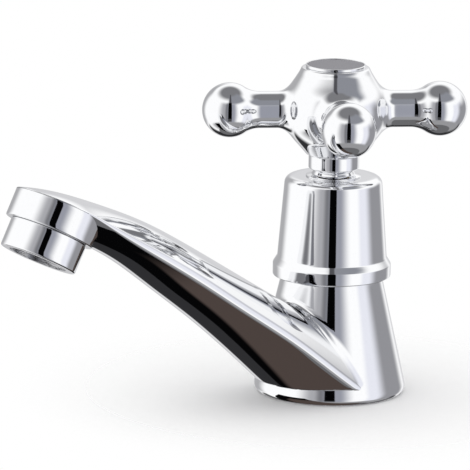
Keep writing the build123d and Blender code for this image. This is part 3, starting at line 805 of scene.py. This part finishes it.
# The tent's bands of painted reflection, from the back to the front one, in degrees: across is to the
# right of the gap, up is above the horizon. A half width of 180 goes all round.
tent_painted_reflections = [
    # band of painted reflection, shade, middle, half width, side fade, bottom, top, end fade
    ("backdrop", (208, 208, 210), 180, 18, 16, -22, 14, 10),
    ("roof", (122, 122, 125), 0, 180, 1, 66, 100, 20),
    ("roof_beam", (138, 140, 147), 40, 30, 30, 44, 66, 12),
    ("right_wall", (232, 233, 241), 82, 16, 12, -60, 16, 12),
    ("right_hanging", (146, 146, 150), 114, 15, 24, -34, 5, 23),
    ("back_hanging", (170, 170, 172), -148, 8, 28, -18, 30, 14),
    ("left_hanging", (168, 168, 172), -20, 6, 30, -60, 34, 14),
    ("left_shade", (105, 105, 108), -10, 2, 13, -60, 34, 14),
    ("right_shade", (150, 152, 162), 10, 5, 26, -60, 34, 14),
    ("gap_foot", (72, 72, 74), 0, 7, 3, -34, -18, 4),
    ("gap_head", (80, 80, 84), 0, 4, 5, 36, 74, 8),
    ("gap", (4, 4, 5), 0, 7, 1.5, -20, 42, 5),
    # Below the horizon: painted dark and grey reflections for the plating's undersides.
    ("table_behind", (46, 46, 48), 180, 42, 22, -64, -32, 5),
    ("table_front", (150, 150, 152), 20, 100, 40, -62, -42, 10),
    ("table", (104, 104, 106), 0, 180, 1, -100, -61, 3),
]
# The tent glows with these painted reflections, and only the plating sees it.
tent_material, nodes, link, light = glowing("painted_reflection_tent")
place = nodes.new("ShaderNodeTexCoord")
facing_gap = nodes.new("ShaderNodeMapping")
gap_azimuth = math.radians(-40)
facing_gap.inputs["Rotation"].default_value = (0, 0, -gap_azimuth)
link(place.outputs["Object"], facing_gap.inputs["Vector"])
way = nodes.new("ShaderNodeVectorMath")
way.operation = "NORMALIZE"
link(facing_gap.outputs["Vector"], way.inputs[0])
parts = nodes.new("ShaderNodeSeparateXYZ")
link(way.outputs["Vector"], parts.inputs["Vector"])
round_turn = nodes.new("ShaderNodeMath")
round_turn.operation = "ARCTAN2"
link(parts.outputs["Y"], round_turn.inputs[0])
link(parts.outputs["X"], round_turn.inputs[1])
tilt = nodes.new("ShaderNodeMath")
tilt.operation = "ARCSINE"
link(parts.outputs["Z"], tilt.inputs[0])
in_degrees = []
for value in (round_turn, tilt):
    degrees = nodes.new("ShaderNodeMath")
    degrees.operation = "DEGREES"
    link(value.outputs["Value"], degrees.inputs[0])
    in_degrees.append(degrees.outputs["Value"])
shown = mirrored(tent_white)
for painted_band in tent_painted_reflections:
    shown = hang(nodes, link, *in_degrees, shown, painted_band)
link(shown, light.inputs["Color"])
tent_radius = 1.0
rise = np.linspace(-math.pi / 2, math.pi / 2, 33)[:, None]
tent_grid = tent_radius * np.stack([np.cos(rise) * np.cos(turn), np.cos(rise) * np.sin(turn),
                                    np.sin(rise) + 0 * turn], axis=-1)
mirrored_only(stage_object("painted_reflection_tent", tent_grid, tent_material))

# The slab is a glowing sheet that only the plating mirrors: a painted dark reflection for the spout's hull,
# with a painted brown patch of reflection on it, placed in millimetres. Its left side slants, so the hull
# mirrors the slab up to the same height all along.
slab_black = (5, 5, 6)
# The painted brown patch of reflection on the slab.
brown_reflection_patch = ("brown_mat", (76, 66, 62), 16, 21, 9, -66, 6, 16)
slab_level = -0.03
slab_right = 0.038
slab_slant = 0.48
slab_left = -0.011
slab_y = np.array([-0.150, 0.006])
slab_x = np.stack([slab_left + slab_slant * slab_y, np.full(2, slab_right)], axis=-1)
slab_grid = np.stack([slab_x, slab_y[:, None] + 0 * slab_x, slab_level + 0 * slab_x], axis=-1)
slab_material, nodes, link, light = glowing("painted_reflection_slab")
place = nodes.new("ShaderNodeTexCoord")
in_millimetres = nodes.new("ShaderNodeMapping")
in_millimetres.inputs["Scale"].default_value = (1 / MM, 1 / MM, 1 / MM)
link(place.outputs["Object"], in_millimetres.inputs["Vector"])
parts = nodes.new("ShaderNodeSeparateXYZ")
link(in_millimetres.outputs["Vector"], parts.inputs["Vector"])
shown = hang(nodes, link, parts.outputs["X"], parts.outputs["Y"], mirrored(slab_black), brown_reflection_patch)
link(shown, light.inputs["Color"])
mirrored_only(stage_object("painted_reflection_slab", slab_grid, slab_material))

world = bpy.data.worlds.new("surround")
bpy.context.scene.world = world
world.use_nodes = True
world.node_tree.nodes["Background"].inputs["Color"].default_value = (1, 1, 1, 1)
world.node_tree.nodes["Background"].inputs["Strength"].default_value = 1.0

# The camera: a long lens at the photograph's angle, turned a degree about its own axis as there. Its
# aim is measured from the foot of the tap's axis, and the view's width is what the picture spans there.
azimuth = math.radians(50)
elevation = math.radians(12.5)
roll = math.radians(1.0)
camera_distance = 2500.0
view_width = 155.1
aim_right = -31.97
aim_up = 50.27
right = np.array([math.cos(azimuth), math.sin(azimuth), 0])
back = np.array([math.sin(azimuth) * math.cos(elevation), -math.cos(azimuth) * math.cos(elevation),
                 math.sin(elevation)])
up = np.cross(back, right)
aim = right * aim_right + up * aim_up
place_at = (aim + back * camera_distance) * MM
across = right * math.cos(roll) + up * math.sin(roll)
upright = up * math.cos(roll) - right * math.sin(roll)
lens = bpy.data.cameras.new("camera")
lens.sensor_width = 36
lens.lens = lens.sensor_width * camera_distance / view_width
lens.clip_end = 20
camera = bpy.data.objects.new("camera", lens)
bpy.context.scene.collection.objects.link(camera)
camera.matrix_world = [[*across, 0], [*upright, 0], [*back, 0], [*place_at, 1]]
bpy.context.scene.camera = camera
bpy.context.scene.view_settings.view_transform = "Standard"
